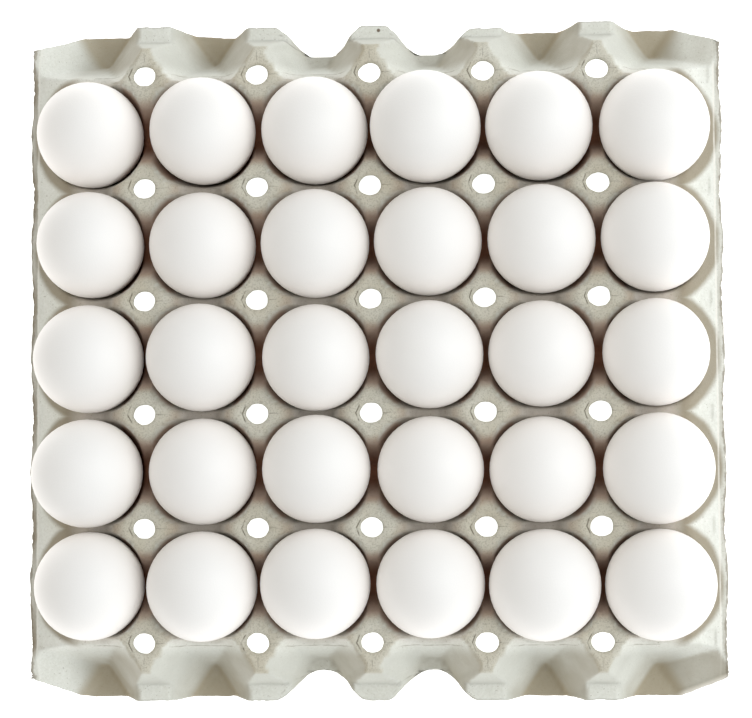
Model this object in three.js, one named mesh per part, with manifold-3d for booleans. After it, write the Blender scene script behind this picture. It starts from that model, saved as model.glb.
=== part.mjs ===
// A tray of thirty eggs: one moulded-pulp sheet, six pockets by five, with an egg standing in every
// pocket on its narrow end. Hollow posts rise between the pockets and end in a small open hole,
// ridges join them along X, lower saddles join them along Y, and the long edges fall in facets to
// flat tabs, floor-level triangles and four scalloped notches. Millimetres, +Z up, origin on the
// table under the middle of the tray.
import * as THREE from 'three';
import { mergeVertices } from 'three/addons/utils/BufferGeometryUtils.js';
import Module from 'manifold-3d';

const wasm = await Module();
wasm.setup();

// The grid of pockets.
const PITCH = 48;
const COLUMNS = 6;
const ROWS = 5;

// The sheet, and the heights of its upper face.
const SHEET = 2;
const FOOT_Z = SHEET;
const SADDLE_Z = 24;
const TAB_Z = 22;
const RIDGE_Z = 32;
const TIP_Z = 44.5;

// A pocket is a twelve-sided funnel, and its radii are measured to the middle of its sides.
const POCKET_SIDES = 12;
const POCKET_FOOT_RADIUS = 14.5;
const POCKET_TIP_RADIUS = 25.8;

// A post's head is a low pyramid with a flat top, and it falls by HEAD_RISE for each unit outwards.
const HEAD_TOP_HALF = 5;
const HEAD_RISE = 0.44;
const HEAD_BASE_Z = 34;

// Half widths of the dips between posts, at their floor and at the height of the tips.
const RIDGE_HALF = 5.5;
const RIDGE_TIP_HALF = 12.4;
const SADDLE_HALF = 3;
const SADDLE_TIP_HALF = 13.9;
const TIP_HOLE_RADIUS = 4.4;
const TIP_HOLE_SIDES = 6;

// The side edges run along Y, outside the outer pockets.
const HALF_LENGTH = 149.7;
const RIM_CREASE_X = 146;
const RIM_Z = 24.5;
const RIM_EDGE_Z = 22.5;

// The long edges, as distances beyond the outer row of posts.
const EDGE_REACH = 26.3;
const TAB_CREASE = 19.1;
const END_FACET_TOP = 10.5;
const GAP_APEX = 13;
const RIDGE_HALF_WIDTH = 1.6;
const TAB_HALF = 7.3;
const GAP_FLOOR_HALF = 9.1;

// The two middle gaps of each long edge are scalloped, their floor is higher, and the tabs beside
// them reach further towards them.
const NOTCH_FLOOR_Z = 12;
const TAB_SPREAD = 3.5;
const NOTCH_DEPTH = 12.4;
const NOTCH_HALF = 19;
const NOTCH_STEPS = 6;
const NOTCH_GAPS = [-PITCH / 2, PITCH / 2];

// Each corner is cut off straight, from the side rim down to the floor of the first gap.
const CORNER_ALONG = 29.3;
const CORNER_REACH = 16.8;
const CORNER_FLOOR_ALONG = 10;

// The eggs: mean size, how far they differ, and how far they lean.
const EGG_WIDTH = 45.6;
const EGG_WIDTH_SPREAD = 1.1;
const EGG_LENGTH = 58;
const EGG_LENGTH_SPREAD = 1.5;
const EGG_BLUNTNESS = 2.8;
const EGG_LEAN = 0.055;
const EGG_SIDES = 9;
const EGG_STEPS = 6;
const EGG_CLEARANCE = 0.35;
const FITTING_SIDES = 48;
const FITTING_STEPS = 60;
const SEEDS = { width: 326110, length: 2, leanX: 47088, leanY: 321518 };

const REACH = 400;
const DEPTH_BELOW = 20;
const ROW_EDGE = (ROWS * PITCH) / 2;
const COLUMN_EDGE = (COLUMNS * PITCH) / 2;

const pulp = new THREE.MeshStandardMaterial({ color: 0xc8c6bc, roughness: 0.95, metalness: 0 });
const eggshell = new THREE.MeshStandardMaterial({ color: 0xefece8, roughness: 0.55, metalness: 0 });

function toSolid(geometry) {
  const bare = geometry.clone();
  bare.deleteAttribute('normal');
  bare.deleteAttribute('uv');
  const merged = mergeVertices(bare, 1e-4);
  return new wasm.Manifold(new wasm.Mesh({
    numProp: 3,
    vertProperties: new Float32Array(merged.attributes.position.array),
    triVerts: new Uint32Array(merged.index.array),
  }));
}

function toGeometry(solid) {
  const mesh = solid.getMesh();
  const geometry = new THREE.BufferGeometry();
  geometry.setAttribute('position', new THREE.BufferAttribute(mesh.vertProperties, 3));
  geometry.setIndex(new THREE.BufferAttribute(mesh.triVerts, 1));
  geometry.computeVertexNormals();
  return geometry;
}

// A plane of the sheet's upper face, through a point, rising by `rise` for each unit along `toward`.
function facet(point, toward = [0, 0], rise = 0) {
  const length = Math.hypot(...toward) || 1;
  const normal = new THREE.Vector3((-rise * toward[0]) / length, (-rise * toward[1]) / length, 1);
  return { point: new THREE.Vector3(...point), normal: normal.normalize() };
}

// An upright plane that ends a cavity, with its open side along `toward`.
function wall(point, toward) {
  return { point: new THREE.Vector3(...point), normal: new THREE.Vector3(...toward, 0), upright: true };
}

// All the space above a list of planes. The lower face of the sheet is the same planes, sunk by its
// thickness along their normals.
function cavity(planes, sink) {
  return planes.map(({ point, normal, upright }) => {
    const block = new THREE.BoxGeometry(REACH * 2, REACH * 2, REACH).translate(0, 0, REACH / 2);
    const turn = new THREE.Quaternion().setFromUnitVectors(new THREE.Vector3(0, 0, 1), normal);
    const place = point.clone().addScaledVector(normal, upright ? 0 : -sink);
    block.applyQuaternion(turn).translate(place.x, place.y, place.z);
    return toSolid(block);
  }).reduce((space, block) => space.intersect(block));
}

function pocketPlanes() {
  const rise = (TIP_Z - FOOT_Z) / (POCKET_TIP_RADIUS - POCKET_FOOT_RADIUS);
  const sides = Array.from({ length: POCKET_SIDES }, (_, side) => {
    const angle = (side * 2 * Math.PI) / POCKET_SIDES;
    const toward = [Math.cos(angle), Math.sin(angle)];
    return facet([POCKET_FOOT_RADIUS * toward[0], POCKET_FOOT_RADIUS * toward[1], FOOT_Z], toward, rise);
  });
  return [facet([0, 0, FOOT_Z]), ...sides];
}

// The dip over one gap between columns of posts, which leaves the ridges between the rows of eggs.
function ridgePlanes(x) {
  const rise = (TIP_Z - RIDGE_Z) / (RIDGE_TIP_HALF - RIDGE_HALF);
  const planes = [facet([x, 0, RIDGE_Z])];
  for (const side of [-1, 1]) {
    const meetsPost = Math.abs(x + (side * PITCH) / 2) < COLUMN_EDGE;
    if (meetsPost) planes.push(facet([x + side * RIDGE_HALF, 0, RIDGE_Z], [side, 0], rise));
  }
  return planes;
}

// The deeper dip over one gap between rows of posts. It ends in the outer pockets, inside the rims.
function saddlePlanes(y) {
  const rise = (TIP_Z - SADDLE_Z) / (SADDLE_TIP_HALF - SADDLE_HALF);
  const end = COLUMN_EDGE - PITCH / 2;
  return [
    facet([0, y, SADDLE_Z]),
    facet([0, y - SADDLE_HALF, SADDLE_Z], [0, -1], rise),
    facet([0, y + SADDLE_HALF, SADDLE_Z], [0, 1], rise),
    wall([-end, 0, 0], [1, 0]),
    wall([end, 0, 0], [-1, 0]),
  ];
}

// The end facets of the outer posts fall away to the tabs along a long edge.
function endFacetPlanes(side) {
  const rise = (TIP_Z - TAB_Z) / (TAB_CREASE - END_FACET_TOP);
  return [
    facet([0, side * (ROW_EDGE + TAB_CREASE), TAB_Z]),
    facet([0, side * (ROW_EDGE + TAB_CREASE), TAB_Z], [0, -side], rise),
  ];
}

// The half pocket between two tabs: a floor, the ridge's outer face, and on each side the flank of
// the post and the steeper side of its tab. Past the last post the flank is wide and gentle.
function gapPlanes(x, side) {
  const notched = NOTCH_GAPS.includes(x);
  const apex = ROW_EDGE + GAP_APEX;
  const ridgeRise = (RIDGE_Z - FOOT_Z) / (GAP_APEX - RIDGE_HALF_WIDTH);
  const planes = [
    facet([x, side * apex, notched ? NOTCH_FLOOR_Z : FOOT_Z]),
    facet([x, side * apex, FOOT_Z], [0, -side], ridgeRise),
  ];
  const edge = [GAP_FLOOR_HALF, EDGE_REACH - GAP_APEX];
  const across = [edge[1] / Math.hypot(...edge), -edge[0] / Math.hypot(...edge)];
  for (const hand of [-1, 1]) {
    const atCorner = Math.abs(x + (hand * PITCH) / 2) >= COLUMN_EDGE;
    const meet = atCorner
      ? [CORNER_ALONG, CORNER_REACH - GAP_APEX]
      : [PITCH / 2 - TAB_HALF, TAB_CREASE - GAP_APEX];
    const distance = meet[0] * across[0] + meet[1] * across[1];
    const toward = [hand * across[0], side * across[1]];
    planes.push(facet([x, side * apex, FOOT_Z], toward, (TAB_Z - FOOT_Z) / distance));
    if (!atCorner) {
      const rise = (TAB_Z - FOOT_Z) / (PITCH / 2 - TAB_HALF - GAP_FLOOR_HALF);
      const tabSide = PITCH / 2 - TAB_HALF - (notched ? TAB_SPREAD : 0);
      planes.push(facet([x + hand * tabSide, 0, TAB_Z], [hand, 0], rise));
    }
  }
  return planes;
}

function rimPlanes(side) {
  const rise = (RIM_Z - RIM_EDGE_Z) / (HALF_LENGTH - RIM_CREASE_X);
  return [facet([side * RIM_CREASE_X, 0, RIM_Z], [-side, 0], rise)];
}

function centres(count) {
  return Array.from({ length: count }, (_, index) => (index - (count - 1) / 2) * PITCH);
}

// The heads of all the posts, and the level from which the rims and tabs are cut.
function uncutBody(sink) {
  const topHalf = HEAD_TOP_HALF - (sink * (Math.hypot(1, HEAD_RISE) - 1)) / HEAD_RISE;
  const footHalf = topHalf + (TIP_Z + DEPTH_BELOW - sink) / HEAD_RISE;
  const head = new THREE.CylinderGeometry(
    topHalf * Math.SQRT2,
    footHalf * Math.SQRT2,
    TIP_Z + DEPTH_BELOW - sink,
    4,
  );
  head.rotateX(Math.PI / 2).rotateZ(Math.PI / 4).translate(0, 0, (TIP_Z - DEPTH_BELOW - sink) / 2);
  const base = new THREE.BoxGeometry(REACH, REACH, HEAD_BASE_Z + DEPTH_BELOW - sink);
  base.translate(0, 0, (HEAD_BASE_Z - DEPTH_BELOW - sink) / 2);
  const post = toSolid(head);
  const posts = centres(COLUMNS - 1).flatMap((x) => centres(ROWS + 1).map((y) => post.translate([x, y, 0])));
  return wasm.Manifold.union([toSolid(base), ...posts]);
}

// Everything under the sheet's upper face, or under its lower face when sunk by the thickness.
function bodyUnderSheet(sink) {
  const pocket = cavity(pocketPlanes(), sink);
  const cavities = centres(COLUMNS).flatMap((x) => centres(ROWS).map((y) => pocket.translate([x, y, 0])));
  cavities.push(...centres(COLUMNS).map((x) => cavity(ridgePlanes(x), sink)));
  cavities.push(...centres(ROWS).map((y) => cavity(saddlePlanes(y), sink)));
  for (const side of [-1, 1]) {
    cavities.push(cavity(endFacetPlanes(side), sink));
    cavities.push(...centres(COLUMNS).map((x) => cavity(gapPlanes(x, side), sink)));
    cavities.push(cavity(rimPlanes(side), sink));
  }
  return uncutBody(sink).subtract(wasm.Manifold.union(cavities));
}

// The trimmed outline of the sheet, with its cut corners and its four notches.
function outlinePrism() {
  const outline = new THREE.Shape();
  const depth = ROW_EDGE + EDGE_REACH;
  const cornerX = COLUMN_EDGE - PITCH / 2;
  for (const side of [-1, 1]) {
    const points = [
      [side * HALF_LENGTH, side * (ROW_EDGE + CORNER_REACH)],
      [side * (cornerX + CORNER_FLOOR_ALONG), side * depth],
    ];
    for (const gap of [...NOTCH_GAPS].reverse()) {
      for (let step = 0; step <= NOTCH_STEPS; step++) {
        const along = NOTCH_HALF * (1 - (2 * step) / NOTCH_STEPS);
        const reach = (NOTCH_DEPTH * (1 + Math.cos((Math.PI * along) / NOTCH_HALF))) / 2;
        points.push([side * (gap + along), side * (depth - reach)]);
      }
    }
    points.push([-side * (cornerX + CORNER_FLOOR_ALONG), side * depth]);
    points.push([-side * HALF_LENGTH, side * (ROW_EDGE + CORNER_REACH)]);
    for (const point of points) {
      if (side < 0 && point === points[0]) outline.moveTo(...point);
      else outline.lineTo(...point);
    }
  }
  const prism = new THREE.ExtrudeGeometry(outline, { depth: TIP_Z * 2, bevelEnabled: false });
  return toSolid(prism.translate(0, 0, -TIP_Z / 2));
}

function tipHoles() {
  const holes = centres(COLUMNS - 1).flatMap((x) => centres(ROWS + 1).map((y) => {
    const hole = new THREE.CylinderGeometry(TIP_HOLE_RADIUS, TIP_HOLE_RADIUS, TIP_Z, TIP_HOLE_SIDES);
    return toSolid(hole.rotateX(Math.PI / 2).translate(x, y, TIP_Z));
  }));
  return wasm.Manifold.union(holes);
}

function buildTray() {
  const sheet = bodyUnderSheet(0).subtract(bodyUnderSheet(SHEET));
  const trimmed = sheet.intersect(outlinePrism()).subtract(tipHoles());
  const tray = new THREE.Mesh(toGeometry(trimmed), pulp);
  tray.name = 'tray';
  return tray;
}

// A repeatable number from -1 to 1 for the egg in one pocket.
function scatter(row, column, seed) {
  const wave = Math.sin((row * COLUMNS + column + 1) * 12.9898 + seed * 78.233) * 43758.5453;
  return 2 * (wave - Math.floor(wave)) - 1;
}

// Half an egg's outline from its narrow end up. The widest place lies above the middle.
function eggProfile(width, length, steps) {
  return Array.from({ length: steps + 1 }, (_, step) => {
    const along = (length / 2) * Math.cos((Math.PI * step) / steps);
    const round = Math.max(length ** 2 - 4 * along ** 2, 0);
    const taper = length ** 2 + 8 * EGG_BLUNTNESS * along + 4 * EGG_BLUNTNESS ** 2;
    const radius = (width / 2) * Math.sqrt(round / taper);
    return new THREE.Vector2(step % steps ? radius : 0, length / 2 - along);
  });
}

// An egg that leans about a point a third of the way up it.
function eggGeometry(row, column, sides, steps) {
  const width = EGG_WIDTH + EGG_WIDTH_SPREAD * scatter(row, column, SEEDS.width);
  const length = EGG_LENGTH + EGG_LENGTH_SPREAD * scatter(row, column, SEEDS.length);
  const lean = new THREE.Euler(
    EGG_LEAN * scatter(row, column, SEEDS.leanX),
    EGG_LEAN * scatter(row, column, SEEDS.leanY),
    0,
  );
  return new THREE.LatheGeometry(eggProfile(width, length, steps), sides)
    .rotateX(Math.PI / 2)
    .translate(0, 0, -length / 3)
    .applyQuaternion(new THREE.Quaternion().setFromEuler(lean));
}

function buildEgg(row, column) {
  const egg = new THREE.Mesh(eggGeometry(row, column, EGG_SIDES, EGG_STEPS), eggshell);
  egg.name = `egg_r${row + 1}c${column + 1}`;
  const height = restHeight(eggGeometry(row, column, FITTING_SIDES, FITTING_STEPS));
  egg.position.set(centres(COLUMNS)[column], -centres(ROWS)[row], height);
  return egg;
}

// The height at which a leaning egg comes to rest against the funnel of its pocket.
function restHeight(geometry) {
  const rise = (TIP_Z - FOOT_Z) / (POCKET_TIP_RADIUS - POCKET_FOOT_RADIUS);
  const place = geometry.attributes.position;
  let height = 0;
  for (let index = 0; index < place.count; index++) {
    const radius = Math.hypot(place.getX(index), place.getY(index)) + EGG_CLEARANCE;
    const wallZ = FOOT_Z + rise * (radius - POCKET_FOOT_RADIUS);
    height = Math.max(height, wallZ - place.getZ(index));
  }
  return height;
}

const eggTray = new THREE.Group();
eggTray.add(buildTray());
for (let row = 0; row < ROWS; row++) {
  for (let column = 0; column < COLUMNS; column++) eggTray.add(buildEgg(row, column));
}

export default eggTray;
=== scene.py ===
import math

import bpy
from mathutils import Matrix, Vector


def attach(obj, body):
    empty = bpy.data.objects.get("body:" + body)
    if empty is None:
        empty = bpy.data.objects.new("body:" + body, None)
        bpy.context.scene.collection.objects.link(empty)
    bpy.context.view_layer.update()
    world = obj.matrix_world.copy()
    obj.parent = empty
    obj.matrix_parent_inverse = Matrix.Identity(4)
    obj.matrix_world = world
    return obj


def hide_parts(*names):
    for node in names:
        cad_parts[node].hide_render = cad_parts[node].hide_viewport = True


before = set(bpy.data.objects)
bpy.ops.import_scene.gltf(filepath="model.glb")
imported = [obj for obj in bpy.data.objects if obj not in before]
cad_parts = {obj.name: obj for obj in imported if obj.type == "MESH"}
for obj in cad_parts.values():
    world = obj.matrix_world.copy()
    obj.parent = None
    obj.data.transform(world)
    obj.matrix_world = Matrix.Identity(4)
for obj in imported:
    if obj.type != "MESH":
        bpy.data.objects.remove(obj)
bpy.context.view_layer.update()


# The table, the daylight and the camera. The tray stands on a softly glowing white table, as for
# cut-out product pictures, so that light comes up through its holes. The whole room is bright, and
# a low window stands close by on the right.
TABLE_SIZE = 6.0
TABLE_DROP = 0.0004
TABLE_GLOW = 0.85
ROOM_LIGHT, ROOM_LIGHT_RIGHT = 0.77, 0.64
LEFT_COLOUR, RIGHT_COLOUR = (1.0, 0.93, 0.84), (0.98, 0.99, 1.0)
WINDOW_SIZE = 0.70
WINDOW_POWER = 2.2
WINDOW_PLACE = Vector((0.68, 0.09, 0.73))
CAMERA_PLACE = Vector((0.0718, -0.0570, 0.8840))
CAMERA_TURN = (2.94, 3.05, -0.41)
LENS = 96.37
SHIFT = (-0.080, 0.037)


class Wire:
    """One output socket of a node tree. Sums on it add Math nodes; node() adds any other node."""

    def __init__(self, tree, socket=None):
        self.tree = tree
        self.socket = socket

    def node(self, kind, settings=None, sockets=None, output=0):
        made = self.tree.nodes.new(kind)
        for name, value in (settings or {}).items():
            if name == "stops":
                set_stops(made.color_ramp, value)
            else:
                setattr(made, name, value)
        for name, value in (sockets or {}).items():
            if isinstance(value, Wire):
                self.tree.links.new(value.socket, made.inputs[name])
            else:
                made.inputs[name].default_value = value
        return Wire(self.tree, made.outputs[output] if made.outputs else None)

    def sums(self, operation, *values):
        return self.node("ShaderNodeMath", {"operation": operation}, dict(enumerate(values)))

    def math(self, operation, *others):
        return self.sums(operation, self, *others)

    def __add__(self, other):
        return self.sums("ADD", self, other)

    def __radd__(self, other):
        return self.sums("ADD", other, self)

    def __sub__(self, other):
        return self.sums("SUBTRACT", self, other)

    def __rsub__(self, other):
        return self.sums("SUBTRACT", other, self)

    def __mul__(self, other):
        return self.sums("MULTIPLY", self, other)

    def __rmul__(self, other):
        return self.sums("MULTIPLY", other, self)

    def __truediv__(self, other):
        return self.sums("DIVIDE", self, other)

    def __pow__(self, other):
        return self.sums("POWER", self, other)

    def __lt__(self, other):
        return self.sums("LESS_THAN", self, other)

    def __gt__(self, other):
        return self.sums("GREATER_THAN", self, other)

    def low(self, other, soft=0.0):
        """The lower of two, rounded over where they meet."""
        return self.math("SMOOTH_MIN", other, soft) if soft else self.math("MINIMUM", other)

    def high(self, other, soft=0.0):
        """The higher of two, rounded over where they meet."""
        return self.math("SMOOTH_MAX", other, soft) if soft else self.math("MAXIMUM", other)

    def reach(self, other):
        """The straight distance of two distances at a right angle."""
        return (self * self + other * other).math("SQRT")

    def size(self):
        return self.math("ABSOLUTE")

    def ease(self, start, end, to=(0.0, 1.0), kind="SMOOTHSTEP"):
        """Passes from one number to another as the wire passes from start to end, and no further."""
        settings = {"interpolation_type": kind, "clamp": True}
        values = {"Value": self, "From Min": start, "From Max": end, "To Min": to[0], "To Max": to[1]}
        return self.node("ShaderNodeMapRange", settings, values)

    def split(self):
        parts = self.node("ShaderNodeSeparateXYZ", None, {"Vector": self})
        return [Wire(self.tree, socket) for socket in parts.socket.node.outputs]

    def join(self, x, y, z):
        return self.node("ShaderNodeCombineXYZ", None, {"X": x, "Y": y, "Z": z})

    def noise(self, place, scale, detail=2.0, roughness=0.5):
        """Cloudy noise about zero, as high as it is deep, with features about 1 / scale across."""
        sockets = {"Vector": place, "Scale": scale, "Detail": detail, "Roughness": roughness}
        return self.node("ShaderNodeTexNoise", None, sockets) - 0.5


def set_stops(ramp, stops):
    while len(ramp.elements) > 1:
        ramp.elements.remove(ramp.elements[-1])
    for index, (place, colour) in enumerate(stops):
        stop = ramp.elements[0] if index == 0 else ramp.elements.new(place)
        stop.position = place
        stop.color = (*colour, 1.0)


def linear(red, green, blue):
    """A colour given as it looks on a screen, 0 to 255, turned to light."""
    shares = [value / 255 for value in (red, green, blue)]
    return tuple(s / 12.92 if s <= 0.04045 else ((s + 0.055) / 1.055) ** 2.4 for s in shares)


def plain_mesh(name, points, faces):
    mesh = bpy.data.meshes.new(name)
    mesh.from_pydata(points, [], faces)
    piece = bpy.data.objects.new(name, mesh)
    bpy.context.scene.collection.objects.link(piece)
    return piece


def new_material(name, roughness, **uniform):
    """A material, and a wire that stands in its tree. The sockets in uniform stay the same all over."""
    material = bpy.data.materials.new(name)
    material.use_nodes = True
    shader = material.node_tree.nodes["Principled BSDF"]
    shader.inputs["Roughness"].default_value = roughness
    for socket, value in uniform.items():
        shader.inputs[socket.replace("_", " ")].default_value = value
    return material, shader, Wire(material.node_tree)


def feed(shader, socket, wire):
    wire.tree.links.new(wire.socket, shader.inputs[socket])


half = TABLE_SIZE / 2
corners = [(-half, -half), (half, -half), (half, half), (-half, half)]
table = plain_mesh("white_table", [(*corner, -TABLE_DROP) for corner in corners], [(0, 1, 2, 3)])
glow, shader, _ = new_material("lit white table", 0.9, Base_Color=(0.9, 0.9, 0.9, 1.0))
shader.inputs["Emission Color"].default_value = (1.0, 1.0, 1.0, 1.0)
shader.inputs["Emission Strength"].default_value = TABLE_GLOW
table.data.materials.append(glow)

room = bpy.data.worlds.new("bright room")
room.use_nodes = True
rightward, _, _ = Wire(room.node_tree).node("ShaderNodeTexCoord").split()
walls = rightward.node("ShaderNodeValToRGB", {"stops": [(0.0, LEFT_COLOUR), (0.5, RIGHT_COLOUR)]}, {
    "Fac": rightward * 0.5 + 0.5,
})
feed(room.node_tree.nodes["Background"], "Color", walls)
feed(room.node_tree.nodes["Background"], "Strength", ROOM_LIGHT + ROOM_LIGHT_RIGHT * rightward.high(0.0))
bpy.context.scene.world = room
bpy.context.scene.view_settings.view_transform = "Standard"

window = bpy.data.lights.new("window", "AREA")
window.shape = "DISK"
window.size = WINDOW_SIZE
window.energy = WINDOW_POWER
window_object = bpy.data.objects.new("window", window)
window_object.location = WINDOW_PLACE
window_object.rotation_euler = (-WINDOW_PLACE).to_track_quat("-Z", "Y").to_euler()
bpy.context.scene.collection.objects.link(window_object)

camera = bpy.data.cameras.new("camera")
camera.lens = LENS
camera.shift_x, camera.shift_y = SHIFT
camera_object = bpy.data.objects.new("camera", camera)
camera_object.location = CAMERA_PLACE
camera_object.rotation_euler = [math.radians(angle) for angle in CAMERA_TURN]
bpy.context.scene.collection.objects.link(camera_object)
bpy.context.scene.camera = camera_object


# The tray: one sheet of grey moulded pulp, about two millimetres thick, sucked onto a wire-mesh
# mould. Pockets, hollow posts, ridges, saddles, end facets and tabs are all folds of that sheet, so
# its two faces follow one height rule, and the lower face lies a sheet's thickness inside the upper.
PITCH = 0.048
COLUMNS, ROWS = 6, 5
CELLS_PER_PITCH = 34
RIM_CELLS, EDGE_CELLS = 8, 29
HOLE_CELLS = 6
CROWDING = 0.60
EDGE_CROWDING = 0.30

SHEET = 0.0020
FOOT_Z = SHEET
SADDLE_Z, TAB_Z, RIDGE_Z, TIP_Z = 0.0240, 0.0220, 0.0320, 0.0445
POCKET_FOOT_RADIUS, POCKET_TIP_RADIUS = 0.0145, 0.0258
HEAD_FALL, HEAD_SPAN, HEAD_DIMPLE = 0.0035, 0.0130, 0.0011
RIDGE_HALF, RIDGE_TIP_HALF = 0.0055, 0.0124
SADDLE_HALF, SADDLE_TIP_HALF = 0.0030, 0.0139
TIP_HOLE_RADIUS = 0.0044
ROUND_REACH = 0.0120
HALF_LENGTH, RIM_CREASE_X, RIM_Z, RIM_EDGE_Z = 0.1497, 0.1466, 0.0245, 0.0242
SHOULDER_RISE = 0.54
EDGE_REACH, TAB_CREASE, END_FACET_TOP, GAP_APEX = 0.0263, 0.0191, 0.0112, 0.0130
RIDGE_HALF_WIDTH, TAB_HALF, TAB_SPREAD, GAP_FLOOR_HALF = 0.0016, 0.0073, 0.0035, 0.0091
NOTCH_FLOOR_Z, NOTCH_DEPTH, NOTCH_HALF, NOTCH_FULLNESS = 0.0120, 0.0124, 0.0190, 0.75
TAB_ROUNDING = 0.0016
CORNER_ALONG, CORNER_REACH, CORNER_FLOOR_ALONG = 0.0293, 0.0168, 0.0100
CURL_RISE, CURL_WIDTH = 0.0014, 0.0030
SHORT_EDGE_BY, SHORT_TAB_BY = 0.0012, 0.0020
VALLEY_SOFTNESS, CREST_SOFTNESS = 0.0020, 0.0010
POST_FLANK_STEEPENING = 1.08
UNEVENNESS = 0.0005
TEAR_DEPTH = 0.0011
RIM_WAVE = 0.0010
SHEET_SEED = 3.0

ROW_EDGE = ROWS * PITCH / 2
COLUMN_EDGE = COLUMNS * PITCH / 2
OUTER_POCKET_X = COLUMN_EDGE - PITCH / 2
OUTER_POCKET_Y = ROW_EDGE - PITCH / 2


def tree_input(tree, name, value):
    socket = tree.interface.new_socket(name, in_out="INPUT", socket_type="NodeSocketFloat")
    socket.default_value = value
    return socket.identifier


def nearest(wire, start, period):
    """The signed step from the nearest of a row of lines, which stand a period apart."""
    shifted = wire - start
    return shifted - period * (shifted / period).math("ROUND")


def slope(start_z, rise, along, sink):
    """A sloping face of the sheet. Its lower face is the same plane, sunk along its normal."""
    return start_z + rise * along - sink * math.sqrt(1 + rise * rise)


def sheet_height(x, y, sink):
    """The height rule of the whole sheet, as planes and cones cut into one another.

    Also how far below the heads of the posts the sheet lies."""
    across, along = x.size(), y.size()
    from_pocket_x = nearest(x, PITCH / 2, PITCH).size().high(across - OUTER_POCKET_X)
    from_pocket_y = nearest(y, 0.0, PITCH).size().high(along - OUTER_POCKET_Y)
    inner = across < OUTER_POCKET_X
    beyond = along - ROW_EDGE

    funnel_rise = (TIP_Z - FOOT_Z) / (POCKET_TIP_RADIUS - POCKET_FOOT_RADIUS)
    from_pocket = from_pocket_x.reach(from_pocket_y)
    funnel = slope(FOOT_Z, funnel_rise, from_pocket - POCKET_FOOT_RADIUS, sink)
    funnel = funnel.high(FOOT_Z - sink, VALLEY_SOFTNESS)

    from_post_x, from_post_y = nearest(x, 0.0, PITCH), nearest(y, PITCH / 2, PITCH)
    from_post = from_post_x.reach(from_post_y)
    head = TIP_Z - sink - HEAD_FALL * (from_post / HEAD_SPAN).low(1.0) ** 4
    head = head - HEAD_DIMPLE * from_post.ease(0.0085, 0.0035)

    ridge_rise = (TIP_Z - RIDGE_Z) / (RIDGE_TIP_HALF - RIDGE_HALF)
    ridge = slope(RIDGE_Z, ridge_rise, from_pocket_x * inner - RIDGE_HALF, sink)
    ridge = ridge.high(RIDGE_Z - sink, VALLEY_SOFTNESS)

    saddle_rise = (TIP_Z - SADDLE_Z) / (SADDLE_TIP_HALF - SADDLE_HALF)
    saddle = slope(SADDLE_Z, saddle_rise, from_pocket_y - SADDLE_HALF, sink)
    saddle = saddle.high(SADDLE_Z - sink, VALLEY_SOFTNESS) + (1 - inner)

    tab_rise = (TIP_Z - TAB_Z) / (TAB_CREASE - END_FACET_TOP)
    tab = slope(TAB_Z, tab_rise, TAB_CREASE - beyond, sink).high(TAB_Z - sink, VALLEY_SOFTNESS)

    edge = (GAP_FLOOR_HALF, EDGE_REACH - GAP_APEX)
    edge_length = math.hypot(*edge)
    flank_across, flank_beyond = edge[1] / edge_length, -edge[0] / edge_length
    meet = (PITCH / 2 - TAB_HALF, TAB_CREASE - GAP_APEX)
    corner_meet = (CORNER_ALONG, CORNER_REACH - GAP_APEX)
    flank_rise, corner_rise = (
        (TAB_Z - FOOT_Z) / (place[0] * flank_across + place[1] * flank_beyond)
        for place in (meet, corner_meet)
    )
    flank_run = from_pocket_x * flank_across + (beyond - GAP_APEX) * flank_beyond
    flank = slope(FOOT_Z, flank_rise * POST_FLANK_STEEPENING, flank_run, sink)
    corner_flank = slope(FOOT_Z, corner_rise, flank_run, sink)
    tab_side_rise = (TAB_Z - FOOT_Z) / (meet[0] - GAP_FLOOR_HALF)
    notched = across < PITCH
    tab_side = slope(TAB_Z, tab_side_rise, from_pocket_x - meet[0] + TAB_SPREAD * notched, sink)
    post_side = flank.high(tab_side, VALLEY_SOFTNESS)
    side = corner_flank + (post_side - corner_flank) * inner
    ridge_side_rise = (RIDGE_Z - FOOT_Z) / (GAP_APEX - RIDGE_HALF_WIDTH)
    ridge_side = slope(FOOT_Z, ridge_side_rise, GAP_APEX - beyond, sink)
    gap_floor = FOOT_Z + (NOTCH_FLOOR_Z - FOOT_Z) * notched - sink
    gap = side.high(ridge_side, VALLEY_SOFTNESS).high(gap_floor, VALLEY_SOFTNESS)

    rim_fall = (RIM_Z - RIM_EDGE_Z) / (HALF_LENGTH - RIM_CREASE_X)
    rim = slope(RIM_Z, rim_fall, RIM_CREASE_X - across, sink)
    rim = rim.high(slope(RIM_Z, SHOULDER_RISE, RIM_CREASE_X - across, sink))

    height = head
    for face in (funnel, ridge, saddle, tab, gap, rim):
        height = height.low(face, CREST_SOFTNESS)
    return height, head - height


LIP_REACH, LIP_LEAN, LIP_STEP, LIP_LINE = 0.0066, 0.42, 0.0007, 0.00050
SEAM_START, SEAM_END, SEAM_LINE = 0.0050, 0.0115, 0.00026


def lip_side(from_post_x, from_post_y):
    """One on the left-hand side of a hole, where the wire mesh of the mould left a lip."""
    return from_post_y.size().ease(0.0042, 0.0026) * (from_post_x < 0.0)


def lip_distance(from_post_x, from_post_y, place):
    """How far beyond the lip a point lies. The lip is bent like the corner of the wire mesh."""
    bent = from_post_x.size() + LIP_LEAN * from_post_y.size()
    return bent - LIP_REACH - 0.0026 * place.noise(place, 70.0, 1.0)


def lip_step(from_post_x, from_post_y, place):
    """How far the sheet lies lower between a hole and its lip."""
    distance = lip_distance(from_post_x, from_post_y, place)
    return LIP_STEP * distance.ease(0.0003, -0.0003) * lip_side(from_post_x, from_post_y)


HEM_START, HEM_END, HEM_WIDTH, HEM_LINE = 0.0060, 0.0210, 0.0052, 0.00050


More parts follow.
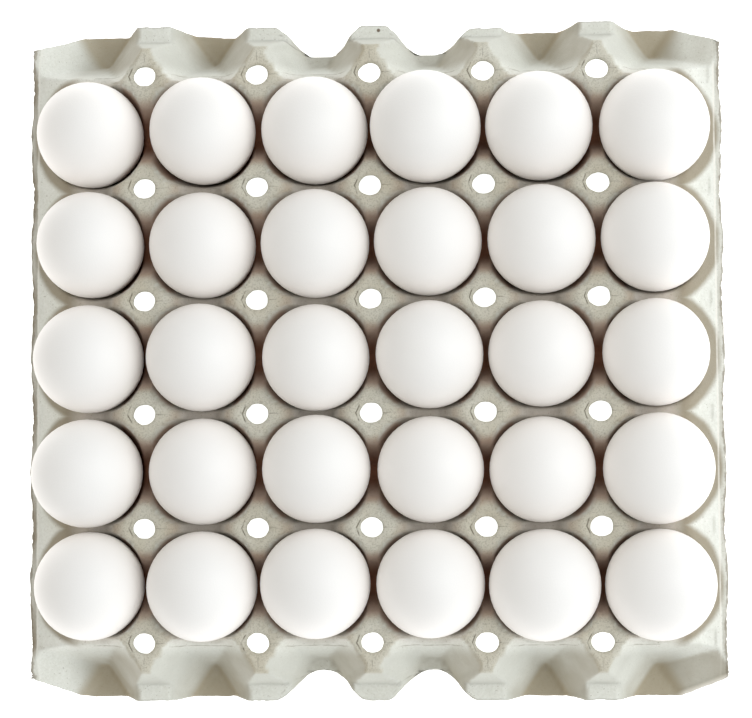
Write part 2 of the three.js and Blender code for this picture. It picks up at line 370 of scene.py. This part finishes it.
def hem_line(x, from_border, place):
    """One on the crease beside a notch, where the border was pressed flat against the mould; the material
    lays a line of painted shade along it.
    """
    from_post_x = nearest(x, 0.0, PITCH)
    along_notch = from_post_x.ease(HEM_START, HEM_START + 0.003) * from_post_x.ease(HEM_END, HEM_END - 0.007)
    along_notch = along_notch * (x > -PITCH) * (x < PITCH / 2)
    width = HEM_WIDTH * along_notch + 0.0015 * place.noise(place, 120.0, 1.0)
    return (from_border - width).size().ease(HEM_LINE, 0.0) * along_notch


def corner_curl(x, y):
    """Rises to one at the cut border of one corner, where the sheet curled up as it dried."""
    along_cut = x - (OUTER_POCKET_X + CORNER_FLOOR_ALONG)
    cut = along_cut * ((EDGE_REACH - CORNER_REACH) / (CORNER_ALONG - CORNER_FLOOR_ALONG))
    from_cut = ROW_EDGE + EDGE_REACH - cut + y
    return from_cut.ease(CURL_WIDTH, CURL_WIDTH / 3) * along_cut.ease(-0.003, 0.003) * (y < 0.0)


def spread(steps, wave, start, start_moved, end, end_moved):
    """Moves evenly spaced grid lines so that they crowd near the posts and fill the outer band."""
    away = steps.size()
    inside = away.low(start)
    swing = (inside * (2 * math.pi / PITCH)).math("SINE")
    moved = inside + wave * swing + (away - inside) * ((end_moved - start_moved) / (end - start))
    return moved * steps.math("SIGN")


def stored(geometry, name, value):
    """Keeps a number on every point, for the material to read."""
    settings = {"data_type": "FLOAT", "domain": "POINT"}
    return geometry.node("GeometryNodeStoreNamedAttribute", settings, {
        "Geometry": geometry, "Name": name, "Value": value,
    })


def sheet_tree(material):
    tree = bpy.data.node_groups.new("moulded sheet", "GeometryNodeTree")
    tree.interface.new_socket("Mesh", in_out="OUTPUT", socket_type="NodeSocketGeometry")
    names = {
        "Sheet": SHEET,
        "Hole Radius": TIP_HOLE_RADIUS,
        "Round Reach": ROUND_REACH,
        "Notch Depth": NOTCH_DEPTH,
        "Tab Rounding": TAB_ROUNDING,
        "Unevenness": UNEVENNESS,
        "Tear Depth": TEAR_DEPTH,
        "Rim Wave": RIM_WAVE,
        "Seed": SHEET_SEED,
    }
    identifiers = {name: tree_input(tree, name, value) for name, value in names.items()}
    start = Wire(tree)
    inputs = start.node("NodeGroupInput").socket.node
    sizes = {name: Wire(tree, inputs.outputs[name]) for name in names}
    cell = PITCH / CELLS_PER_PITCH
    cells_x = CELLS_PER_PITCH * COLUMNS + 2 * RIM_CELLS
    cells_y = CELLS_PER_PITCH * ROWS + 2 * EDGE_CELLS
    grid = start.node("GeometryNodeMeshGrid", None, {
        "Size X": cells_x * cell,
        "Size Y": cells_y * cell,
        "Vertices X": cells_x + 1,
        "Vertices Y": cells_y + 1,
    })
    x, y, _ = start.node("GeometryNodeInputPosition").split()
    hole_reach = HOLE_CELLS * cell
    beside_x, beside_y = nearest(x, 0.0, PITCH).size(), nearest(y, PITCH / 2, PITCH).size()
    in_hole = (beside_x < hole_reach) * (beside_y < hole_reach)
    in_hole = in_hole * (x.size() < OUTER_POCKET_X) * (y.size() < ROW_EDGE + PITCH / 2)
    sheet = start.node("GeometryNodeDeleteGeometry", {"domain": "FACE", "mode": "ALL"}, {
        "Geometry": grid, "Selection": in_hole,
    })

    # The plan: crowded lines, round holes, the long edges with their notches, and torn borders.
    crowding = CROWDING * PITCH / (2 * math.pi)
    calm = ROW_EDGE + PITCH / 4
    plan_y = spread(y, crowding, calm, calm - crowding, cells_y * cell / 2, ROW_EDGE + EDGE_REACH)
    band = plan_y.size().ease(ROW_EDGE + ROUND_REACH, ROW_EDGE + 0.020)
    wave = (CROWDING + (EDGE_CROWDING - CROWDING) * band) * (PITCH / (2 * math.pi))
    plan_x = spread(x, -1 * wave, COLUMN_EDGE, COLUMN_EDGE, cells_x * cell / 2, HALF_LENGTH)
    from_post_x = nearest(plan_x, 0.0, PITCH)
    from_post_y = nearest(plan_y, PITCH / 2, PITCH)
    squared = from_post_x.size().high(from_post_y.size())
    round_reach = from_post_x.reach(from_post_y).high(1e-6)
    hole_line = hole_reach - crowding * math.sin(2 * math.pi * hole_reach / PITCH)
    place = start.join(plan_x, plan_y, sizes["Seed"] * 0.1)
    ragged = 0.16 * start.noise(place, 150.0, 1.0) + 0.10 * start.noise(place, 420.0, 1.0)
    leftward = (from_post_x / round_reach * -1.0).high(0.0)
    pear = 1.05 + 0.09 * leftward ** 6 - 0.09 * (from_post_y / round_reach).size() ** 3
    hole = sizes["Hole Radius"] * (pear + ragged) * (squared / hole_line)
    near = squared.ease(hole_line, sizes["Round Reach"])
    scale = (hole + (round_reach - hole) * near) / round_reach
    scale = 1 + (scale - 1) * (plan_x.size() < OUTER_POCKET_X)
    plan_x = plan_x + from_post_x * (scale - 1)
    plan_y = plan_y + from_post_y * (scale - 1)

    place = start.join(plan_x, plan_y, sizes["Seed"])
    torn = start.noise(place, 90.0, 3.0, 0.6).size() + 0.7 * start.noise(place, 600.0, 2.0, 0.6).size()
    torn = torn * sizes["Tear Depth"] * 2.0
    across, along = plan_x.size(), plan_y.size()
    swing = ((across - PITCH / 2).size() / NOTCH_HALF).low(1.0) * math.pi
    notch = sizes["Notch Depth"] * ((1 + swing.math("COSINE")) * 0.5) ** NOTCH_FULLNESS
    beside_tab = ((across - TAB_HALF / 2) / TAB_HALF).high(0.0)
    rounding = sizes["Tab Rounding"] * beside_tab ** 2 * (across < PITCH / 2)
    cut = (across - (OUTER_POCKET_X + CORNER_FLOOR_ALONG)).high(0.0)
    cut = cut * ((EDGE_REACH - CORNER_REACH) / (CORNER_ALONG - CORNER_FLOOR_ALONG))
    pull = along.ease(ROW_EDGE + END_FACET_TOP + 0.003, ROW_EDGE + EDGE_REACH, kind="LINEAR")
    rounding = rounding.low(TAB_ROUNDING * 1.5) * (1 - notch / sizes["Notch Depth"])
    hem = hem_line(plan_x, ROW_EDGE + EDGE_REACH - along, place)
    short = SHORT_TAB_BY * (plan_x - PITCH).size().ease(0.018, 0.010)
    short = (short + SHORT_EDGE_BY * plan_x.ease(-0.082, -0.062)) * (plan_y > 0.0)
    along = along - (notch + rounding + cut + torn + short) * pull
    waist = 0.5 - 0.5 * (along * (2 * math.pi / PITCH)).math("COSINE")
    rim_pull = across.ease(RIM_CREASE_X, HALF_LENGTH, kind="LINEAR")
    across = across - (1.5 * torn + sizes["Rim Wave"] * waist) * rim_pull
    plan_x = across * plan_x.math("SIGN")
    plan_y = along * plan_y.math("SIGN")
    sheet = stored(sheet, "hem", hem)
    sheet = start.node("GeometryNodeSetPosition", None, {
        "Geometry": sheet, "Position": start.join(plan_x, plan_y, 0.0),
    })

    # Two faces and the walls between them, closed along the borders and the holes.
    raised = start.node("GeometryNodeExtrudeMesh", {"mode": "FACES"}, {
        "Mesh": sheet, "Offset": (0.0, 0.0, 1.0), "Offset Scale": SHEET, "Individual": False,
    })
    under = start.node("GeometryNodeFlipFaces", None, {"Mesh": sheet})
    joined = start.node("GeometryNodeJoinGeometry")
    for part in (under, raised):
        tree.links.new(part.socket, joined.socket.node.inputs[0])
    closed = start.node("GeometryNodeMergeByDistance", None, {"Geometry": joined, "Distance": 1e-5})

    x, y, z = start.node("GeometryNodeInputPosition").split()
    sink = sizes["Sheet"] * (z < SHEET / 2)
    place = start.join(x, y, sizes["Seed"] * 0.37)
    uneven = sizes["Unevenness"] * (start.noise(place, 28.0, 2.0) * 2.0 + start.noise(place, 110.0, 2.0))
    from_post_x, from_post_y = nearest(x, 0.0, PITCH), nearest(y, PITCH / 2, PITCH)
    height, below_head = sheet_height(x, y, sink)
    head = below_head.ease(0.0014, 0.0004)
    grain = start.noise(place, 700.0, 1.0) * (0.00028 * head + 0.00008)
    height = height + uneven + grain - lip_step(from_post_x, from_post_y, place)
    height = height + CURL_RISE * corner_curl(x, y)
    height = height.high(0.0)
    closed = stored(closed, "underside", sink / sizes["Sheet"])
    shaped = start.node("GeometryNodeSetPosition", None, {
        "Geometry": closed, "Position": start.join(x, y, height),
    })
    # The steepness and the leftward lean of each face, kept for the painted shade on the slopes.
    rightward, _, upright = start.node("GeometryNodeInputNormal").split()
    marked = stored(stored(shaped, "head", head), "steep", upright.size().ease(0.95, 0.70))
    marked = stored(marked, "leftward", rightward.ease(-0.08, -0.45))
    smooth = start.node("GeometryNodeSetShadeSmooth", None, {"Geometry": marked, "Shade Smooth": True})
    real = start.node("GeometryNodeRealizeInstances", None, {"Geometry": smooth})
    dressed = start.node("GeometryNodeSetMaterial", None, {"Geometry": real, "Material": material})
    start.node("NodeGroupOutput", None, {0: dressed})
    return tree, identifiers


def grown(name, tree, values):
    """The mesh that a tree makes with these values, on a new object with no modifier left."""
    piece = plain_mesh(name, [], [])
    modifier = piece.modifiers.new("shape", "NODES")
    modifier.node_group = tree
    for identifier, value in values.items():
        modifier[identifier] = value
    bpy.context.view_layer.update()
    evaluated = piece.evaluated_get(bpy.context.evaluated_depsgraph_get())
    mesh = bpy.data.meshes.new_from_object(evaluated)
    piece.modifiers.clear()
    piece.data = mesh
    mesh.name = name
    return piece


PINHOLE_X, PINHOLE_BEYOND = 0.0022, 0.0228
FLECK = (140, 134, 118)
PAINTED_SLOPE_SHADE = (186, 187, 178)
PAINTED_LEFT_SHADE = (168, 162, 146)
PAINTED_VALLEY_SHADE = (160, 153, 134)
HEAD_OLIVE = (183, 175, 153)
HEAD_GRAIN = (120, 116, 98)
PAINTED_TAN_SHADE = (176, 146, 126)
PAINTED_BROWN_SHADE = (162, 106, 76)
PAINTED_FLOOR_SHADE = (160, 148, 122)
PAINTED_HEM_SHADE = (96, 88, 70)
LIP_SHADE_AND_SEAM_LINE = (92, 86, 70)
PAINTED_CREST_SHADOW = (128, 120, 100)
PAINTED_EGG_SHADOW = (134, 122, 98)
FRAYED_RIM_AND_LEFT_SHADE = (142, 132, 114)
TORN_EDGE = (118, 108, 90)
PAINTED_FOLD_HIGHLIGHT = (228, 226, 217)
PAINTED_CURL_HIGHLIGHT = (236, 233, 224)
PINHOLE = (96, 76, 56)


def pulp_material():
    """Grey recycled pulp: cloudy, fibrous, grainy on the heads, with browner and warmer painted shade down in
    the pockets.
    """
    material, shader, start = new_material("grey pulp", 0.95, Specular_IOR_Level=0.2)
    place = start.node("ShaderNodeTexCoord", output=3)
    x, y, z = place.split()
    underside, head, steep, leftward, hem = (
        start.node("ShaderNodeAttribute", {"attribute_name": name}, output=2)
        for name in ("underside", "head", "steep", "leftward", "hem")
    )

    cloud = start.noise(place, 60.0, 3.0)
    fibre = start.noise(place, 900.0, 4.0, 0.65)
    grain = start.noise(place, 1500.0, 2.0, 0.6)
    shade = 0.5 + cloud * 0.60 + fibre * 0.90
    pulp = start.node("ShaderNodeValToRGB", {"stops": [
        (0.15, linear(204, 205, 195)),
        (0.50, linear(217, 219, 211)),
        (0.85, linear(228, 230, 224)),
    ]}, {"Fac": shade})

    def over(under, share, colour):
        """Lays a share of a plain colour over another."""
        values = {0: share, 6: under, 7: (*linear(*colour), 1.0)}
        return start.node("ShaderNodeMix", {"data_type": "RGBA"}, values, 2)

    # Where the pulp is: on a post's head, along a ridge, or inside the tray at all.
    from_post_x, from_post_y = nearest(x, 0.0, PITCH), nearest(y, PITCH / 2, PITCH)
    on_top = 1 - underside
    on_post = (x.size() < OUTER_POCKET_X) * on_top
    within = y.size().ease(ROW_EDGE + 0.004, ROW_EDGE - 0.005)
    within = within * x.size().ease(OUTER_POCKET_X + 0.016, OUTER_POCKET_X + 0.004) * on_top
    ridgeward = (from_post_x.size() - 1.2 * from_post_y.size()).ease(0.003, 0.009)

    # Grey flecks everywhere, painted shade on the slopes (most on those that face left), a coarse olive
    # grain on the heads, and browner painted shade down in the pockets and on the floor of the gaps.
    coloured = over(pulp, start.noise(place, 1300.0, 1.0).ease(0.18, 0.26) * 0.55, FLECK)
    outside = y.size().ease(ROW_EDGE, ROW_EDGE + 0.008) * on_top
    from_corner = x.size().ease(0.137, 0.127)
    # Painted shade: the steep slopes of the outer band are darkened, except near the corners.
    coloured = over(coloured, steep * outside * from_corner * (0.65 + cloud), PAINTED_SLOPE_SHADE)
    # Painted shade: slopes that face left, away from the window, are darker.
    shaded = leftward * outside * (0.15 + 0.45 * from_corner.high(y < 0.0) + cloud)
    coloured = over(coloured, shaded, PAINTED_LEFT_SHADE)
    # Painted shade low in the valleys of the outer band, where little light reaches.
    valley_shade = z.ease(0.024, 0.006) * outside * x.size().ease(0.132, 0.122)
    coloured = over(coloured, valley_shade * (0.45 + cloud), PAINTED_VALLEY_SHADE)
    grainy = head * on_post
    coloured = over(coloured, grainy * (0.55 + cloud), HEAD_OLIVE)
    coloured = over(coloured, grainy * grain.ease(-0.02, 0.20) * 0.38, HEAD_GRAIN)
    # Painted shade, browner the deeper it goes, on the pulp inside the tray below the heads: it stands in for
    # the shadow between the eggs and the warm light bounced between pulp and eggs.
    height = z + cloud * 0.004
    from_post = from_post_x.reach(from_post_y) + cloud * 0.004
    tan_shade = height.ease(0.0425, 0.037).high(from_post.ease(0.0085, 0.0135)) * within
    coloured = over(coloured, tan_shade * 0.80 * (1 - 0.65 * ridgeward), PAINTED_TAN_SHADE)
    brown_shade = height.ease(0.0390, 0.024) * within
    coloured = over(coloured, brown_shade * 0.85 * (1 - 0.80 * ridgeward), PAINTED_BROWN_SHADE)
    # Painted shade on the lowest floors, at the feet of the pockets and the gaps.
    floor_shade = (z + cloud * 0.003).ease(0.008, 0.003) * on_top
    coloured = over(coloured, floor_shade * 0.70, PAINTED_FLOOR_SHADE)
    # Painted shade: a dark line in the crease beside each notch.
    coloured = over(coloured, hem * on_top * 0.8, PAINTED_HEM_SHADE)

    # Dark lines: painted shade in the groove at the edge of each lip, and thin dark seam lines right of each
    # hole and down the outer posts.
    lip = lip_distance(from_post_x, from_post_y, place).size().ease(LIP_LINE, 0.0)
    lip = lip * lip_side(from_post_x, from_post_y)
    wander = from_post_y + 0.0010 * start.noise(place, 250.0, 1.0)
    seam = wander.size().ease(SEAM_LINE, 0.0) * from_post_x.ease(SEAM_END, SEAM_START)
    seam = seam * (from_post_x > SEAM_START)
    beyond = y.size() - ROW_EDGE
    tip_seam = (from_post_x + 0.0006 * start.noise(place, 250.0, 1.0)).size().ease(SEAM_LINE, 0.0)
    tip_seam = tip_seam * beyond.ease(0.0055, 0.0065) * beyond.ease(0.0112, 0.0090)
    strokes = start.noise(place, 320.0, 1.0).ease(-0.16, 0.04, (0.35, 1.0))
    lines = (lip * 0.85).high(seam * 0.60).high(tip_seam * 0.50)
    coloured = over(coloured, lines * strokes * on_post, LIP_SHADE_AND_SEAM_LINE)
    # Painted shadow: a thin dark line along the outer ridge line, where the eggs of the outer rows overhang
    # it.
    crest_shadow = beyond - 0.0019 + 0.0010 * start.noise(place, 200.0, 1.0)
    crest_shadow = crest_shadow.size().ease(0.00040, 0.0) * from_post_x.size().ease(0.009, 0.014) * on_post
    coloured = over(coloured, crest_shadow * strokes * 0.55, PAINTED_CREST_SHADOW)
    # Painted shadow: a dark band on the rims round the eggs of the end columns, under their overhang.
    from_pocket_x = x.size() - OUTER_POCKET_X
    from_pocket_y = nearest(y, 0.0, PITCH).size().high(y.size() - OUTER_POCKET_Y)
    from_pocket = from_pocket_x.reach(from_pocket_y) + cloud * 0.003
    egg_shadow = from_pocket.ease(0.0290, 0.0260) * from_pocket_x.ease(0.004, 0.012) * on_top
    coloured = over(coloured, egg_shadow * 0.80, PAINTED_EGG_SHADOW)
    waist = 0.5 - 0.5 * (y.size().low(ROW_EDGE) * (2 * math.pi / PITCH)).math("COSINE")
    off_corner = beyond.ease(0.002, 0.010, (1.0, 0.25))
    shred = start.noise(place, 160.0, 3.0, 0.7)
    # Ragged darker patches on the rim strip beyond its crease, drawn stronger on the left than on the right:
    # partly real tearing, partly painted shade on the side away from the window.
    frayed_and_left_shade = (x.size() + 0.0016 * shred).ease(RIM_CREASE_X - 0.0004, RIM_CREASE_X + 0.0004)
    frayed_and_left_shade = frayed_and_left_shade * (0.25 + 0.60 * waist) * off_corner * x.ease(0.10, -0.10, (0.40, 1.0))
    coloured = over(coloured, frayed_and_left_shade * on_top, FRAYED_RIM_AND_LEFT_SHADE)
    torn = (x.size() + 0.0010 * waist + 0.0030 * shred).ease(HALF_LENGTH - 0.0014, HALF_LENGTH - 0.0006)
    coloured = over(coloured, torn * 0.60, TORN_EDGE)
    # Painted highlight: a light line along the convex bend of the rim crease.
    fold_highlight = (x.size() - RIM_CREASE_X + 0.0006).size().ease(0.0006, 0.0001)
    coloured = over(coloured, fold_highlight * (0.55 + shred) * off_corner * on_top, PAINTED_FOLD_HIGHLIGHT)
    # Painted highlight along the curled lip at the cut border of the lower right corner.
    curl_highlight = corner_curl(x, y) * on_top
    coloured = over(coloured, curl_highlight * 0.8, PAINTED_CURL_HIGHLIGHT)
    pinhole = (x - PINHOLE_X).reach(y - ROW_EDGE - PINHOLE_BEYOND).ease(0.0010, 0.0005) * on_top
    coloured = over(coloured, pinhole * 0.9, PINHOLE)
    feed(shader, "Base Color", coloured)
    relief = fibre * 0.35 + grain * (0.25 + 0.75 * head)
    bump = start.node("ShaderNodeBump", None, {"Strength": 0.55, "Distance": 0.0006, "Height": relief})
    feed(shader, "Normal", bump)
    return material


pulp = pulp_material()
tree, sheet_inputs = sheet_tree(pulp)
tray = grown("pulp_tray", tree, {sheet_inputs["Sheet"]: SHEET})
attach(tray, "root")
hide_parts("tray")


# The eggs: thirty white hen's eggs of one grade, each a little different in width, length and lean.
# Each stands on its narrow end and rests against the funnel of its pocket.
EGG_WIDTH, EGG_WIDTH_SPREAD = 0.0456, 0.0011
EGG_LENGTH, EGG_LENGTH_SPREAD = 0.0580, 0.0015
EGG_BLUNTNESS = 0.0028
EGG_LEAN = 0.055
EGG_CLEARANCE = 0.00035
EGG_UNEVENNESS = 0.012
EGG_SIDES, EGG_RINGS = 48, 36
SEEDS = {"width": 326110, "length": 2, "lean_x": 47088, "lean_y": 321518}


def scatter(row, column, seed):
    """A repeatable number from -1 to 1 for the egg in one pocket."""
    wave = math.sin((row * COLUMNS + column + 1) * 12.9898 + seed * 78.233) * 43758.5453
    return 2 * (wave - math.floor(wave)) - 1


def egg_tree(material):
    """An egg on its narrow end, its middle third at the origin, with a closed pole at each end."""
    tree = bpy.data.node_groups.new("hen's egg", "GeometryNodeTree")
    tree.interface.new_socket("Mesh", in_out="OUTPUT", socket_type="NodeSocketGeometry")
    names = {"Width": EGG_WIDTH, "Length": EGG_LENGTH, "Bluntness": EGG_BLUNTNESS, "Seed": 0.0}
    identifiers = {name: tree_input(tree, name, value) for name, value in names.items()}
    start = Wire(tree)
    inputs = start.node("NodeGroupInput").socket.node
    width, length, blunt, seed = (Wire(tree, inputs.outputs[name]) for name in names)
    ball = start.node("GeometryNodeMeshUVSphere", None, {
        "Segments": EGG_SIDES, "Rings": EGG_RINGS, "Radius": 1.0,
    })
    x, y, z = start.node("GeometryNodeInputPosition").split()
    along = z * length * -0.5
    taper = length * length + 8 * blunt * along + 4 * blunt * blunt
    reach = width * length * 0.5 / taper.math("SQRT")
    dimple = 1 + EGG_UNEVENNESS * start.noise(start.join(x, y, z + seed), 0.8, 1.0)
    place = start.join(x * reach * dimple, y * reach * dimple, length * 0.5 - along - length / 3)
    shaped = start.node("GeometryNodeSetPosition", None, {"Geometry": ball, "Position": place})
    smooth = start.node("GeometryNodeSetShadeSmooth", None, {"Geometry": shaped, "Shade Smooth": True})
    real = start.node("GeometryNodeRealizeInstances", None, {"Geometry": smooth})
    dressed = start.node("GeometryNodeSetMaterial", None, {"Geometry": real, "Material": material})
    start.node("NodeGroupOutput", None, {0: dressed})
    return tree, identifiers


def eggshell_material():
    """White shell: faintly cloudy and finely pored, with painted light, lighter and warmer, down its sides.
    """
    material, shader, start = new_material("white eggshell", 0.42, Specular_IOR_Level=0.3)
    place = start.node("ShaderNodeTexCoord", output=3)
    x, y, z = place.split()
    cloud = start.noise(place, 35.0, 2.0)
    pores = start.noise(place, 1400.0, 2.0, 0.6)
    shade = 0.5 + cloud * 0.8
    shell = start.node("ShaderNodeValToRGB", {"stops": [
        (0.2, linear(230, 230, 228)),
        (0.8, linear(236, 236, 234)),
    ]}, {"Fac": shade})
    # Painted light: the lower sides are lighter and warmer, standing in for light scattered through the shell
    # and bounced up from the tray.
    painted_side_light = (z + cloud * 0.004).ease(0.068, 0.048)
    tinted = start.node("ShaderNodeMix", {"data_type": "RGBA"}, {
        0: painted_side_light * 0.70, 6: shell, 7: (*linear(252, 248, 244), 1.0),
    }, 2)
    feed(shader, "Base Color", tinted)
    bump = start.node("ShaderNodeBump", None, {"Strength": 0.25, "Distance": 0.0002, "Height": pores})
    feed(shader, "Normal", bump)
    return material


def rest_height(piece):
    """The height at which a leaning egg comes to rest against the funnel of its pocket."""
    rise = (TIP_Z - FOOT_Z) / (POCKET_TIP_RADIUS - POCKET_FOOT_RADIUS)
    return max(
        FOOT_Z + rise * (math.hypot(point.co.x, point.co.y) + EGG_CLEARANCE - POCKET_FOOT_RADIUS) - point.co.z
        for point in piece.data.vertices
    )


eggshell = eggshell_material()
tree, egg_inputs = egg_tree(eggshell)
for row in range(ROWS):
    for column in range(COLUMNS):
        node = f"egg_r{row + 1}c{column + 1}"
        egg = grown(f"{node}_shell", tree, {
            egg_inputs["Width"]: EGG_WIDTH + EGG_WIDTH_SPREAD * scatter(row, column, SEEDS["width"]),
            egg_inputs["Length"]: EGG_LENGTH + EGG_LENGTH_SPREAD * scatter(row, column, SEEDS["length"]),
            egg_inputs["Seed"]: float(row * COLUMNS + column),
        })
        lean_x = Matrix.Rotation(EGG_LEAN * scatter(row, column, SEEDS["lean_x"]), 4, "X")
        lean_y = Matrix.Rotation(EGG_LEAN * scatter(row, column, SEEDS["lean_y"]), 4, "Y")
        egg.data.transform(lean_x @ lean_y)
        pocket = (
            (column - (COLUMNS - 1) / 2) * PITCH,
            ((ROWS - 1) / 2 - row) * PITCH,
            rest_height(egg),
        )
        egg.data.transform(Matrix.Translation(pocket))
        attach(egg, "root")
        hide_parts(node)
